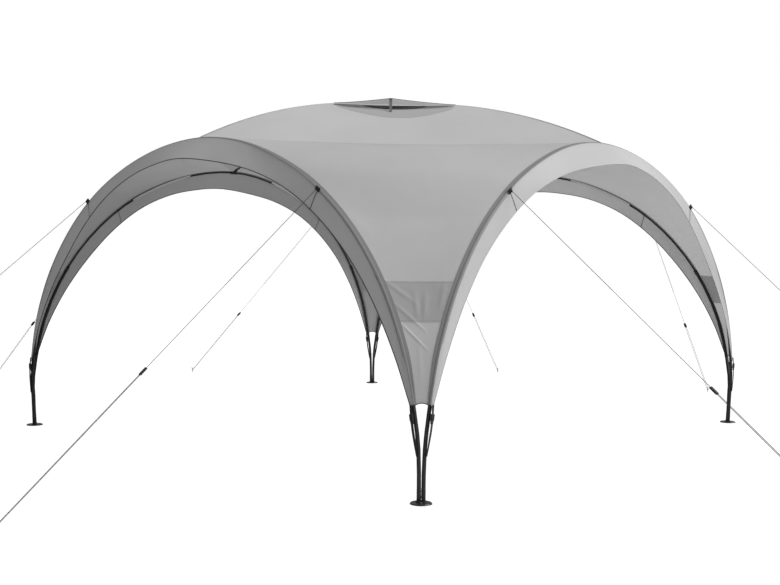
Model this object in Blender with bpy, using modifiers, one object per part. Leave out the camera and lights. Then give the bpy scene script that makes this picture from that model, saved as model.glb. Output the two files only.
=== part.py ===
"""Arched event shelter: a grey canopy over four black pole arches, held by eight guy lines.

The origin is on the ground below the peak. The front looks along -Y and the vent faces the
front left corner. Every side and every corner is the front one turned about Z.
"""

from math import cos, pi, sin, sqrt

import bmesh
import bpy
from mathutils import Matrix, Vector

# Driving sizes, in metres
FOOT_SPACING = 3.5
HALF = FOOT_SPACING / 2
GAP = 0.0003
LEG_RADIUS = 0.0105
POLE_RADIUS = 0.006
LEG_PITCH = 0.0222
LEG_TOP = 1.095
HEM_HEIGHT = 0.475
FABRIC = 0.003
RIDGE_TOP = 2.236
RIDGE_DROP = 0.12
RUNG_SAG = 0.011
ACROSS = 8
TIE_HEIGHT = 1.52
PEG_REACH_X = 3.325
PEG_REACH_Y = 3.68

# A side arch from foot to top: distance from the middle, lean outward, height
ARCH = [
    (HALF - LEG_PITCH / sqrt(2), 0.0, 0.0),
    (1.738, 0.006, 0.180),
    (1.731, 0.016, 0.360),
    (1.654, 0.020, 0.708),
    (1.504, 0.014, 1.032),
    (1.285, 0.003, 1.315),
    (1.012, -0.008, 1.544),
    (0.694, -0.022, 1.710),
    (0.355, -0.041, 1.817),
    (0.0, -0.054, 1.856),
]

# The free edge of a visor, from the hem to its middle
VISOR_EDGE = [
    (1.712, 0.032, 0.449),
    (1.600, 0.035, 0.713),
    (1.455, 0.028, 0.958),
    (1.275, 0.018, 1.183),
    (1.065, 0.022, 1.380),
    (0.827, 0.031, 1.539),
    (0.562, 0.050, 1.647),
    (0.283, 0.083, 1.707),
    (0.0, 0.106, 1.734),
]

SIDES = ["front", "right", "back", "left"]
CORNERS = ["front_left", "front_right", "back_right", "back_left"]

# Where each side's two pegs stand, left one first as seen from outside
PEGS = {
    "front": [(-1.265, -PEG_REACH_Y), (0.480, -PEG_REACH_Y)],
    "right": [(PEG_REACH_X, -0.865), (PEG_REACH_X, 1.425)],
    "back": [(1.150, PEG_REACH_Y), (-1.085, PEG_REACH_Y)],
    "left": [(-PEG_REACH_X, 1.675), (-PEG_REACH_X, -0.695)],
}


def clear_scene():
    for old in list(bpy.data.objects):
        bpy.data.objects.remove(old, do_unlink=True)


def new_material(name, colour, roughness, metallic=0.0):
    material = bpy.data.materials.new(name)
    material.use_nodes = True
    shader = material.node_tree.nodes["Principled BSDF"]
    shader.inputs["Base Color"].default_value = (*colour, 1.0)
    shader.inputs["Roughness"].default_value = roughness
    shader.inputs["Metallic"].default_value = metallic
    return material


clear_scene()
tent = bpy.data.collections.new("event_shelter")
cutters = bpy.data.collections.new("cutters")
bpy.context.scene.collection.children.link(tent)
bpy.context.scene.collection.children.link(cutters)

canopy_grey = new_material("canopy_grey", (0.42, 0.42, 0.42), 0.75)
visor_grey = new_material("visor_grey", (0.50, 0.50, 0.50), 0.75)
mesh_black = new_material("mesh_black", (0.02, 0.02, 0.02), 0.9)
pole_black = new_material("pole_black", (0.025, 0.025, 0.027), 0.45, 0.2)
webbing_black = new_material("webbing_black", (0.03, 0.03, 0.03), 0.85)
line_dark = new_material("line_dark", (0.12, 0.12, 0.12), 0.8)
peg_steel = new_material("peg_steel", (0.45, 0.45, 0.46), 0.4, 0.9)


# Curves along an arch
def spline(points, place):
    """A smooth curve through the points, at place 0 to 1 along their list."""
    last = len(points) - 1
    index = min(int(place * last), last - 1)
    t = place * last - index
    here, after = Vector(points[index]), Vector(points[index + 1])
    before = Vector(points[index - 1]) if index > 0 else 2 * here - after
    if index + 2 <= last:
        beyond = Vector(points[index + 2])
    else:
        beyond = Vector((-points[last - 1][0], points[last - 1][1], points[last - 1][2]))
    slope = (after - before) / 2
    next_slope = (beyond - here) / 2
    return (
        (2 * t**3 - 3 * t**2 + 1) * here
        + (t**3 - 2 * t**2 + t) * slope
        + (3 * t**2 - 2 * t**3) * after
        + (t**3 - t**2) * next_slope
    )


def place_at_height(points, height):
    low, high = 0.0, 1.0
    for _ in range(30):
        middle = (low + high) / 2
        if spline(points, middle).z < height:
            low = middle
        else:
            high = middle
    return low


LEG_PLACE = place_at_height(ARCH, LEG_TOP)
HEM_PLACE = place_at_height(ARCH, HEM_HEIGHT)
TIE_PLACE = place_at_height(ARCH, TIE_HEIGHT)


def arch_normal(place):
    """The direction away from the opening, in the plane of the arch."""
    step = 0.002
    along = spline(ARCH, min(place + step, 1.0)) - spline(ARCH, max(place - step, 0.0))
    if place + step > 1.0:
        along.z = 0.0
    return Vector((along.z, 0.0, -along.x)).normalized()


def to_front(point):
    """Middle distance, lean and height of an arch point, set on the front side."""
    return Vector((point.x, -HALF - point.y, point.z))


def turn(index):
    return Matrix.Rotation(index * pi / 2, 4, "Z")


# Making objects
def add_mesh(name, builder, material, matrix=None, smooth=True):
    mesh = bpy.data.meshes.new(name)
    builder.to_mesh(mesh)
    builder.free()
    if matrix:
        mesh.transform(matrix)
    mesh.materials.append(material)
    if smooth:
        mesh.shade_smooth()
        mesh.set_sharp_from_angle(angle=0.6)
    thing = bpy.data.objects.new(name, mesh)
    tent.objects.link(thing)
    return thing


def add_tube(name, route, radius, material, matrix=None, sides=2):
    curve = bpy.data.curves.new(name, "CURVE")
    curve.dimensions = "3D"
    curve.bevel_depth = radius
    curve.bevel_resolution = sides
    curve.use_fill_caps = True
    run = curve.splines.new("POLY")
    run.points.add(len(route) - 1)
    for point, place in zip(run.points, route):
        point.co = (*place, 1.0)
    curve.materials.append(material)
    thing = bpy.data.objects.new(name, curve)
    if matrix:
        thing.matrix_world = matrix
    tent.objects.link(thing)
    return thing


def add_sheet(name, columns, rows, place_point, material, matrix=None, outward=1.0):
    """A grid of columns by rows laid by place_point(a, b), both 0 to 1, and given its thickness."""
    builder = bmesh.new()
    bmesh.ops.create_grid(builder, x_segments=columns, y_segments=rows, size=0.5)
    for vertex in builder.verts:
        vertex.co = place_point(vertex.co.x + 0.5, vertex.co.y + 0.5)
    bmesh.ops.remove_doubles(builder, verts=builder.verts, dist=0.00005)
    sheet = add_mesh(name, builder, material, matrix)
    thicken(sheet, outward)
    return sheet


def thicken(sheet, outward):
    shell = sheet.modifiers.new("thickness", "SOLIDIFY")
    shell.thickness = FABRIC
    shell.offset = outward
    shell.use_even_offset = True


def cut(thing, cutter):
    boolean = thing.modifiers.new("cut", "BOOLEAN")
    boolean.operation = "DIFFERENCE"
    boolean.solver = "EXACT"
    boolean.object = cutter


def join_shapes(thing, shapes):
    """Adds closed shapes to a solid, for good."""
    for shape in shapes:
        boolean = thing.modifiers.new("join", "BOOLEAN")
        boolean.operation = "UNION"
        boolean.solver = "EXACT"
        boolean.object = shape
    bpy.context.view_layer.update()
    evaluated = thing.evaluated_get(bpy.context.evaluated_depsgraph_get())
    joined = bpy.data.meshes.new_from_object(evaluated)
    thing.modifiers.clear()
    thing.data = joined
    for shape in shapes:
        bpy.data.objects.remove(shape, do_unlink=True)


def cylinder_between(start, end, radius, sides=12):
    builder = bmesh.new()
    axis = end - start
    bmesh.ops.create_cone(
        builder, cap_ends=True, segments=sides, radius1=radius, radius2=radius, depth=axis.length
    )
    turned = axis.to_track_quat("Z", "Y").to_matrix().to_4x4()
    builder.transform(Matrix.Translation((start + end) / 2) @ turned)
    return builder


def box_along(centre, axis, across, size):
    """A box whose length lies along axis and whose width lies across it."""
    builder = bmesh.new()
    bmesh.ops.create_cube(builder, size=1.0)
    bmesh.ops.scale(builder, vec=size, verts=builder.verts)
    along = axis.normalized()
    side = (across - across.project(along)).normalized()
    up = along.cross(side)
    builder.transform(Matrix.Translation(centre) @ Matrix((along, side, up)).transposed().to_4x4())
    return builder


# Foot plates: a low turned disc with a spigot inside each leg
PLATE_RADIUS = 0.055
PLATE_SLOPE = 0.004
PLATE_HEIGHT = 0.006
SPIGOT_HEIGHT = 0.016
COLLAR_RADIUS = 0.0126
LEAN_ROOM = 0.0011


def leg_foot(index):
    """Where the first or the second leg of the front left corner meets its plate."""
    shift = LEG_PITCH / sqrt(2)
    if index == 0:
        return Vector((-HALF + shift, -HALF, 0.0))
    return Vector((-HALF, -HALF + shift, 0.0))


def make_foot_plate(corner):
    centre = (leg_foot(0) + leg_foot(1)) / 2
    builder = bmesh.new()
    bmesh.ops.create_cone(
        builder, cap_ends=True, segments=40, radius1=PLATE_RADIUS, radius2=PLATE_RADIUS - PLATE_SLOPE,
        depth=PLATE_HEIGHT,
    )
    builder.transform(Matrix.Translation(centre + Vector((0, 0, PLATE_HEIGHT / 2))))
    plate = add_mesh("foot_plate_" + CORNERS[corner], builder, pole_black)
    sockets = []
    for index in range(2):
        low = leg_foot(index) + Vector((0, 0, PLATE_HEIGHT / 2))
        high = leg_foot(index) + Vector((0, 0, SPIGOT_HEIGHT))
        sockets.append(add_mesh("socket", cylinder_between(low, high, COLLAR_RADIUS, 16), pole_black))
    join_shapes(plate, sockets)
    plate.data.transform(turn(corner))


# Poles
def arch_route(first, last, count):
    return [spline(ARCH, first + (last - first) * step / (count - 1)) for step in range(count)]


def make_leg(side, hand):
    """One leg tube, from its foot plate to the joint with the upper pole."""
    route = arch_route(0.0, LEG_PLACE, 12)
    route[0].z = SPIGOT_HEIGHT + LEAN_ROOM
    sign = -1 if hand == "left" else 1
    front = [to_front(Vector((sign * point.x, point.y, point.z))) for point in route]
    add_tube(f"leg_{SIDES[side]}_{hand}", front, LEG_RADIUS, pole_black, turn(side))


def make_arch_pole(side):
    """The upper pole, from one leg over the top to the other."""
    half = arch_route(LEG_PLACE, 1.0, 14)
    half[0] = half[0] + (half[1] - half[0]).normalized() * GAP * 3
    left = [Vector((-point.x, point.y, point.z)) for point in half[:-1]]
    whole = left + half[::-1]
    front = [to_front(point) for point in whole]
    add_tube("arch_pole_" + SIDES[side], front, POLE_RADIUS, pole_black, turn(side))


POLE_CLEARANCE = LEG_RADIUS + 0.0007


def canopy_edge(place):
    """Where a sheet lies over its arch, just above the pole."""
    point = spline(ARCH, place) + arch_normal(place) * POLE_CLEARANCE
    return point + Vector((0.0, POLE_CLEARANCE, 0.0))


SEAM_DISTANCE = HALF + canopy_edge(1.0).y
SEAM_HEIGHT = canopy_edge(1.0).z
SEAM_SLIP = SEAM_HEIGHT - RIDGE_TOP + RIDGE_DROP * SEAM_DISTANCE**2


def ridge_height(distance):
    """Underside of the roof along a ridge, which ends at the height of the seam."""
    return RIDGE_TOP - RIDGE_DROP * distance**2 + SEAM_SLIP * (distance / SEAM_DISTANCE) ** 4


VENT_TIP = 0.577
VENT_DEPTH = 0.40
RINGS = 8
VENT_RING = 3 / RINGS
RIDGE_FIT = 1.09
HOOD_DEPTH = 0.30
HOOD_LIFT = 0.011
HOOD_DROOP = 0.03
HOOD_PEAK = 15 / 32
SEAM_ROOM = 0.0026


def ring_distance(part):
    """Ridge distance of the roof's rings, one of which is the back edge of the vent."""
    if part < VENT_RING:
        return VENT_TIP * part / VENT_RING
    return VENT_TIP + (SEAM_DISTANCE - SEAM_ROOM - VENT_TIP) * (part - VENT_RING) / (1 - VENT_RING)


def roof_underside(distance):
    """Height of the roof's underside over a ridge pole, along its straight facets."""
    ring = 0
    while ring < RINGS - 1 and distance > ring_distance((ring + 1) / RINGS):
        ring += 1
    near, far = ring_distance(ring / RINGS), ring_distance((ring + 1) / RINGS)
    part = (distance - near) / (far - near)
    return ridge_height(near) * (1 - part) + ridge_height(far) * part


TEE_RADIUS = 0.0095
TEE_LENGTH = 0.060
TEE_DROP = 0.004
TEE_SOCKET = 0.012
TEE_ROOM = 0.006
TEE_REACH = 0.0455
NECK_RADIUS = 0.0092
NECK_LAP = 0.002
APEX = to_front(Vector(ARCH[-1]))


def make_ridge_pole(name, index, drop):
    """A pole from one tee to the opposite one, below the roof sheet."""
    reach = -APEX.y - TEE_REACH
    route = []
    for step in range(21):
        along = -reach + 2 * reach * step / 20
        part = abs(along / reach)
        below = POLE_RADIUS * RIDGE_FIT + GAP + drop * (1 - part)
        below += (TEE_RADIUS - POLE_RADIUS + TEE_ROOM) * part**4
        height = roof_underside(abs(along)) - below
        route.append(Vector((0.0, along, height)))
    add_tube(name, route, POLE_RADIUS, pole_black, turn(index))
    return route[0], (route[0] - route[1]).normalized()


def make_apex_tee(side, pole_end, pole_axis):
    """A short bar beside the arch pole, with a bent socket that meets the end of a ridge pole."""
    beside = sqrt((TEE_RADIUS + POLE_RADIUS + GAP) ** 2 - TEE_DROP**2)
    low = APEX + Vector((0, beside, -TEE_DROP))
    mouth = pole_end + pole_axis * GAP
    elbow = pole_end + pole_axis * TEE_SOCKET
    tee = add_mesh("apex_tee_" + SIDES[side], cylinder_between(mouth, elbow, TEE_RADIUS), pole_black)
    neck = add_mesh("neck", cylinder_between(elbow - pole_axis * NECK_LAP, low, NECK_RADIUS), pole_black)
    bar_start = low - Vector((TEE_LENGTH / 2, 0, 0))
    bar_end = low + Vector((TEE_LENGTH / 2, 0, 0))
    bar = add_mesh("bar", cylinder_between(bar_start, bar_end, TEE_RADIUS), pole_black)
    join_shapes(tee, [neck, bar])
    tee.data.transform(turn(side))


# Canopy sheets
def roof_point(distance, across, corner=0):
    """A roof point by its ridge distance and its place from one ridge to the next."""
    sag = RUNG_SAG * 4 * across * (1 - across) * distance * sqrt(2)
    point = Vector((-distance * (1 - across), -distance * across, ridge_height(distance) - sag))
    return turn(corner) @ point


def make_roof():
    """The roof: four quarters that meet on the ridges, with the vent opening cut out."""
    builder = bmesh.new()
    for corner in range(4):
        quarter = bmesh.ops.create_grid(builder, x_segments=RINGS, y_segments=ACROSS, size=0.5)
        for vertex in quarter["verts"]:
            vertex.co = roof_point(ring_distance(vertex.co.x + 0.5), vertex.co.y + 0.5, corner)
    bmesh.ops.remove_doubles(builder, verts=builder.verts, dist=0.0001)
    bmesh.ops.recalc_face_normals(builder, faces=builder.faces)
    roof = add_mesh("roof_panel", builder, canopy_grey)
    thicken(roof, 1.0)
    return roof


def corner_point(along, across, first, last):
    """A corner point by its place up the arches and from the front arch to the left one."""
    place = first + (last - first) * along
    edge = canopy_edge(place)
    edge.x = max(edge.x, GAP)
    front = to_front(Vector((-edge.x, edge.y, edge.z)))
    left = Vector((front.y, front.x, front.z))
    normal = arch_normal(place)
    inward = Vector((normal.x, normal.x, -2 * normal.z)).normalized()
    sag = RUNG_SAG * 4 * across * (1 - across) * (front - left).length
    return front.lerp(left, across) + inward * sag


def make_corner_panel(corner):
    def point(along, across):
        spot = corner_point(along, across, HEM_PLACE, 1.0)
        spot.x -= GAP
        spot.y -= GAP
        return spot

    add_sheet("corner_panel_" + CORNERS[corner], 16, ACROSS, point, canopy_grey, turn(corner))


VISOR_STEP = 0.0031


def visor_point(along, across):
    """A visor point from the left hem over the top to the right hem, and from arch to free edge."""
    signed = 2 * along - 1
    up = 1 - abs(signed)
    place = HEM_PLACE + (1 - HEM_PLACE) * up
    edge = canopy_edge(place) + arch_normal(place) * FABRIC + Vector((0.0, VISOR_STEP, 0.0))
    free = spline(VISOR_EDGE, up)
    free.y = max(free.y, POLE_CLEARANCE)
    spot = edge.lerp(free, across)
    return to_front(Vector((spot.x if signed > 0 else -spot.x, spot.y, spot.z)))


def make_visor(side):
    add_sheet("visor_" + SIDES[side], 40, 3, visor_point, visor_grey, turn(side), -1.0)


# The roof vent at the front left: a lens of mesh under a hood on a short prop
def lens_cutter(name, inset):
    """An upright block whose plan is the vent opening, drawn in by inset."""
    builder = bmesh.new()
    count = 16
    first = 0.03
    rim = []
    for step in range(count + 1):
        across = first + (1 - 2 * first) * step / count
        bulge = VENT_DEPTH * 4 * across * (1 - across)
        rim.append(roof_point(VENT_TIP + bulge - inset, across))
    rim.append(roof_point(VENT_TIP + inset, 1 - first))
    rim.append(roof_point(VENT_TIP + inset, first))
    verts = [builder.verts.new((point.x, point.y, RIDGE_TOP - 0.5)) for point in rim]
    face = builder.faces.new(verts)
    raised = bmesh.ops.extrude_face_region(builder, geom=[face])["geom"]
    moved = [item for item in raised if isinstance(item, bmesh.types.BMVert)]
    bmesh.ops.translate(builder, vec=(0, 0, 1.0), verts=moved)
    bmesh.ops.recalc_face_normals(builder, faces=builder.faces)
    mesh = bpy.data.meshes.new(name)
    builder.to_mesh(mesh)
    builder.free()
    block = bpy.data.objects.new(name, mesh)
    block.hide_render = True
    block.display_type = "WIRE"
    cutters.objects.link(block)
    return block


def make_vent_mesh(roof):
    """The mesh in the opening, on the same surface as the roof."""
    panel = bpy.data.objects.new("vent_mesh", roof.data.copy())
    panel.data.materials[0] = mesh_black
    tent.objects.link(panel)
    thicken(panel, 1.0)
    keep = panel.modifiers.new("keep", "BOOLEAN")
    keep.operation = "INTERSECT"
    keep.solver = "EXACT"
    keep.object = lens_cutter("vent_mesh_outline", GAP * 2)


HOOD_END = 1 / 16
HOOD_COLUMNS = 28


def hood_point(along, across):
    """A hood point from one tip to the other, and from its seam to its free edge."""
    side = HOOD_END + along * (1 - 2 * HOOD_END)
    bulge = 4 * side * (1 - side)
    from_peak = (HOOD_PEAK - side) / HOOD_PEAK if side < HOOD_PEAK else (side - HOOD_PEAK) / (1 - HOOD_PEAK)
    lift = (1 - from_peak) ** 2
    rise = HOOD_LIFT * lift - HOOD_DROOP * (bulge - lift)
    seam = roof_point(VENT_TIP, side)
    plan = roof_point(VENT_TIP + HOOD_DEPTH * bulge * across, side)
    return Vector((plan.x, plan.y, seam.z + FABRIC + GAP * 2 + rise * across))


PROP_BEYOND = 0.012
PROP_ROOM = 0.0022
PROP_WIDTH = 0.012
PROP_THICK = 0.003
PROP_TOP = 0.97


def make_vent_prop():
    """A stiff strip between the roof, just past the opening, and the hood's peak."""
    low = roof_point(VENT_TIP + VENT_DEPTH + PROP_BEYOND, HOOD_PEAK) + Vector((0, 0, FABRIC + PROP_ROOM))
    peak_along = (HOOD_PEAK - HOOD_END) / (1 - 2 * HOOD_END)
    high = hood_point(peak_along, PROP_TOP) - Vector((0, 0, PROP_ROOM))
    across = Vector((1, -1, 0))
    axis = high - low
    strip = box_along((low + high) / 2, axis, across, (axis.length, PROP_WIDTH, PROP_THICK))
    add_mesh("vent_prop", strip, webbing_black, smooth=False)


# A webbing strap from the hem down to each leg
STRAP_FOOT_HEIGHT = 0.23
STRAP_WIDTH = 0.020
STRAP_THICK = 0.003
STRAP_ROOM = 0.0008
STRAP_START = 0.0012
BUCKLE_PLACE = 0.27
BUCKLE = (0.050, 0.028, 0.009)


def make_hem_strap(side, hand):
    """It starts outside the visor's lower end and ends against the leg tube."""
    sign = -1 if hand == "left" else 1
    half = STRAP_THICK / 2 + STRAP_ROOM
    hem = spline(ARCH, HEM_PLACE)
    hem.y += POLE_CLEARANCE + VISOR_STEP + FABRIC + half + STRAP_START
    foot = spline(ARCH, place_at_height(ARCH, STRAP_FOOT_HEIGHT))
    foot.y += LEG_RADIUS + half
    high = to_front(Vector((sign * hem.x, hem.y, hem.z)))
    low = to_front(Vector((sign * foot.x, foot.y, foot.z)))
    axis = low - high
    across = Vector((1, 0, 0))
    name = f"hem_strap_{SIDES[side]}_{hand}"
    size = (axis.length, STRAP_WIDTH, STRAP_THICK)
    strap = add_mesh(name, box_along((low + high) / 2, axis, across, size), webbing_black, smooth=False)
    buckle = box_along(high.lerp(low, BUCKLE_PLACE), axis, across, BUCKLE)
    join_shapes(strap, [add_mesh("buckle", buckle, webbing_black)])
    strap.data.transform(turn(side))


# Guy lines: a tab at the arch, one strand to the runner, a loop from there round the peg
LINE_RADIUS = 0.0015
BIGHT_RADIUS = 0.0019
LOOP_HALF = 0.0053
PEG_RADIUS = 0.003
PEG_HEIGHT = 0.036
HOOK_REACH = 0.016
LOOP_HEIGHT = 0.018
RUNNER_PLACE = {"front": 0.617, "right": 0.60, "back": 0.60, "left": 0.59}
RUNNER = (0.045, 0.018, 0.008)
TAB = (0.025, 0.012, 0.003)
TAB_ROOM = 0.0014


def make_guy_line(side, index):
    sign = -1 if index == 0 else 1
    hand = "left" if index == 0 else "right"
    outward = Matrix.Rotation(side * pi / 2, 3, "Z") @ Vector((0, -1, 0))
    edge = canopy_edge(TIE_PLACE) + arch_normal(TIE_PLACE) * FABRIC
    edge.y += VISOR_STEP + FABRIC + TAB_ROOM + TAB[2] / 2
    tab_centre = turn(side) @ to_front(Vector((sign * edge.x, edge.y, edge.z)))
    peg_x, peg_y = PEGS[SIDES[side]][index]
    away = (Vector((peg_x, peg_y, 0)) - Vector((tab_centre.x, tab_centre.y, 0))).normalized()
    loop_end = Vector((peg_x, peg_y, LOOP_HEIGHT)) + away * (PEG_RADIUS + LINE_RADIUS + GAP)
    axis = loop_end - tab_centre
    along_arch = spline(ARCH, TIE_PLACE + 0.01) - spline(ARCH, TIE_PLACE - 0.01)
    along_arch = turn(side).to_3x3() @ Vector((sign * along_arch.x, 0, along_arch.z))
    name = f"guy_line_{SIDES[side]}_{hand}"
    line = add_mesh(name, box_along(tab_centre, along_arch, along_arch.cross(outward), TAB), line_dark)
    runner_centre = tab_centre + axis * RUNNER_PLACE[SIDES[side]]
    level = axis.cross(Vector((0, 0, 1))).normalized()
    pieces = [
        add_mesh("strand", cylinder_between(tab_centre, runner_centre, LINE_RADIUS, 8), line_dark),
        add_mesh("runner", box_along(runner_centre, axis, level, RUNNER), line_dark),
    ]
    for hand_sign in (-1, 1):
        start = runner_centre + level * LOOP_HALF * hand_sign
        stop = loop_end + level * LOOP_HALF * hand_sign
        pieces.append(add_mesh("strand", cylinder_between(start, stop, LINE_RADIUS, 8), line_dark))
    wide = level * (LOOP_HALF + LINE_RADIUS)
    pieces.append(
        add_mesh("bight", cylinder_between(loop_end - wide, loop_end + wide, BIGHT_RADIUS, 8), line_dark)
    )
    join_shapes(line, pieces)
    make_peg(f"peg_{SIDES[side]}_{hand}", Vector((peg_x, peg_y, 0)), away)


def make_peg(name, foot, away):
    """The part of a bent steel pin that stands above the ground."""
    route = [foot, foot + Vector((0, 0, PEG_HEIGHT - HOOK_REACH / 2))]
    for step in range(7):
        angle = pi * step / 6
        bend = away * (HOOK_REACH / 2) * (1 - cos(angle)) + Vector((0, 0, sin(angle) * HOOK_REACH / 2))
        route.append(foot + Vector((0, 0, PEG_HEIGHT)) + bend)
    add_tube(name, route, PEG_RADIUS, peg_steel)


for corner_index in range(4):
    make_foot_plate(corner_index)
    make_corner_panel(corner_index)
for side_index in range(4):
    make_leg(side_index, "left")
    make_leg(side_index, "right")
    make_hem_strap(side_index, "left")
    make_hem_strap(side_index, "right")
    make_arch_pole(side_index)
    make_visor(side_index)
    make_guy_line(side_index, 0)
    make_guy_line(side_index, 1)
end_place, end_axis = make_ridge_pole("ridge_pole_front_back", 0, 0.0)
make_apex_tee(0, end_place, end_axis)
make_apex_tee(2, end_place, end_axis)
end_place, end_axis = make_ridge_pole("ridge_pole_left_right", 1, 2 * POLE_RADIUS + GAP)
make_apex_tee(1, end_place, end_axis)
make_apex_tee(3, end_place, end_axis)
roof_panel = make_roof()
make_vent_mesh(roof_panel)
cut(roof_panel, lens_cutter("vent_outline", 0.0))
add_sheet("vent_hood", HOOD_COLUMNS, 2, hood_point, canopy_grey, outward=-1.0)
make_vent_prop()
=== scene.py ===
from itertools import product
from math import cos, exp, pi, radians, sin, sqrt

import bmesh
import bpy
from mathutils import Matrix, Vector


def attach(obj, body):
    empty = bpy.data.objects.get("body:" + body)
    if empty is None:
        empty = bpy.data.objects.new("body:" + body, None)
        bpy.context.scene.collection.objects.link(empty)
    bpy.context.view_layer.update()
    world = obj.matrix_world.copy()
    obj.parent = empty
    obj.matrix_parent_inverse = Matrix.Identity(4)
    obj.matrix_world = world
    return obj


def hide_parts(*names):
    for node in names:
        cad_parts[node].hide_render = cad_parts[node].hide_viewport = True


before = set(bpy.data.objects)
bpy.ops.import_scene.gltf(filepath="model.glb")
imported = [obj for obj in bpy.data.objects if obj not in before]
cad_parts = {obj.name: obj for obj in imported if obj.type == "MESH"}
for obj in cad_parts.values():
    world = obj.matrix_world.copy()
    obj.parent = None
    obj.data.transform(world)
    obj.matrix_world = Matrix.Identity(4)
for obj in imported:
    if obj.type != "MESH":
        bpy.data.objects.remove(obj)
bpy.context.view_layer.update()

# The camera
# The photograph was taken by a standing person from outside the front left corner, with a
# slightly long lens. Its place and angles are solved from the feet and the four arches.
CAMERA_PLACE = Vector((-5.6154, -4.9386, 1.1695))
CAMERA_AZIMUTH = radians(-48.705)
CAMERA_DOWN = radians(1.834)
CAMERA_ROLL = radians(0.361)

camera_data = bpy.data.cameras.new("photo_camera")
camera_data.sensor_width = 36.0
camera_data.lens = 48.83
camera = bpy.data.objects.new("photo_camera", camera_data)
bpy.context.scene.collection.objects.link(camera)
bpy.context.scene.camera = camera

level_right = Vector((cos(CAMERA_AZIMUTH), sin(CAMERA_AZIMUTH), 0.0))
camera_back = Vector((
    sin(CAMERA_AZIMUTH) * cos(CAMERA_DOWN),
    -cos(CAMERA_AZIMUTH) * cos(CAMERA_DOWN),
    sin(CAMERA_DOWN),
))
level_up = camera_back.cross(level_right)
camera_right = level_right * cos(CAMERA_ROLL) + level_up * sin(CAMERA_ROLL)
camera_up = level_up * cos(CAMERA_ROLL) - level_right * sin(CAMERA_ROLL)
camera_axes = Matrix((camera_right, camera_up, camera_back)).transposed().to_4x4()
camera.matrix_world = Matrix.Translation(CAMERA_PLACE) @ camera_axes


# Poles, legs and tees
# Steel tubes with a black powder coat, plugged into each other. The coat is a little rough,
# with a fine orange peel, and it is rubbed paler where a tube is handled.
SIDES = ["front", "right", "back", "left"]
CORNERS = ["front_left", "front_right", "back_right", "back_left"]
HANDS = ["left", "right"]


def new_material(name):
    """A material with its Principled shader, and a short way to add a node to it."""
    material = bpy.data.materials.new(name)
    material.use_nodes = True
    tree = material.node_tree
    return material, tree, tree.nodes["Principled BSDF"]


def add_node(tree, kind, **inputs):
    """A node of this kind, with values set or sockets linked by their names."""
    node = tree.nodes.new(kind)
    for name, value in inputs.items():
        socket = node.inputs[name.replace("_", " ")]
        if isinstance(value, bpy.types.NodeSocket):
            tree.links.new(value, socket)
        else:
            socket.default_value = value
    return node


def blend_colours(tree, mask, low, high):
    """A mix of two colours by a mask."""
    mix = tree.nodes.new("ShaderNodeMix")
    mix.data_type = "RGBA"
    tree.links.new(mask, mix.inputs[0])
    mix.inputs[6].default_value = (*low, 1.0)
    mix.inputs[7].default_value = (*high, 1.0)
    return mix.outputs[2]


def spread_mask(tree, value, low, high, to_low=0.0, to_high=1.0):
    """A value spread from one range to another, and held inside it."""
    spread = tree.nodes.new("ShaderNodeMapRange")
    tree.links.new(value, spread.inputs["Value"])
    spread.inputs["From Min"].default_value = low
    spread.inputs["From Max"].default_value = high
    spread.inputs["To Min"].default_value = to_low
    spread.inputs["To Max"].default_value = to_high
    return spread.outputs["Result"]


def make_wear_group():
    """Scuffs and dust: a fine mask of rubbed places and a low grain for the surface."""
    group = bpy.data.node_groups.new("wear_and_dust", "ShaderNodeTree")
    group.interface.new_socket("Scale", in_out="INPUT", socket_type="NodeSocketFloat")
    group.interface.new_socket("Scuffs", in_out="OUTPUT", socket_type="NodeSocketFloat")
    group.interface.new_socket("Grain", in_out="OUTPUT", socket_type="NodeSocketFloat")
    start = group.nodes.new("NodeGroupInput")
    end = group.nodes.new("NodeGroupOutput")
    place = group.nodes.new("ShaderNodeTexCoord")
    coarse = add_node(group, "ShaderNodeTexNoise", Vector=place.outputs["Object"],
                      Scale=start.outputs["Scale"], Detail=6.0, Roughness=0.65)
    grown = add_node(group, "ShaderNodeMath")
    grown.operation = "MULTIPLY"
    group.links.new(start.outputs["Scale"], grown.inputs[0])
    grown.inputs[1].default_value = 24.0
    fine = add_node(group, "ShaderNodeTexNoise", Vector=place.outputs["Object"],
                    Scale=grown.outputs[0], Detail=3.0)
    scuffs = spread_mask(group, coarse.outputs["Fac"], 0.56, 0.74)
    group.links.new(scuffs, end.inputs["Scuffs"])
    group.links.new(fine.outputs["Fac"], end.inputs["Grain"])
    return group


def add_group(tree, group, **inputs):
    node = tree.nodes.new("ShaderNodeGroup")
    node.node_tree = group
    for name, value in inputs.items():
        node.inputs[name].default_value = value
    return node


def add_bump(tree, shader, height, strength, distance):
    bump = tree.nodes.new("ShaderNodeBump")
    bump.inputs["Strength"].default_value = strength
    bump.inputs["Distance"].default_value = distance
    tree.links.new(height, bump.inputs["Height"])
    tree.links.new(bump.outputs["Normal"], shader.inputs["Normal"])


wear_group = make_wear_group()


def make_coated_steel(name, coat, rubbed, roughness, metallic):
    material, tree, shader = new_material(name)
    wear = add_group(tree, wear_group, Scale=9.0)
    tree.links.new(blend_colours(tree, wear.outputs["Scuffs"], coat, rubbed), shader.inputs["Base Color"])
    rough = spread_mask(tree, wear.outputs["Grain"], 0.3, 0.7, roughness - 0.06, roughness + 0.08)
    tree.links.new(rough, shader.inputs["Roughness"])
    shader.inputs["Metallic"].default_value = metallic
    add_bump(tree, shader, wear.outputs["Grain"], 0.25, 0.0004)
    return material


powder_black = make_coated_steel("powder_coat_black", (0.012, 0.012, 0.013), (0.030, 0.030, 0.031), 0.42, 0.0)
tee_black = make_coated_steel("moulded_tee_black", (0.010, 0.010, 0.010), (0.022, 0.022, 0.022), 0.55, 0.0)


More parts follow.
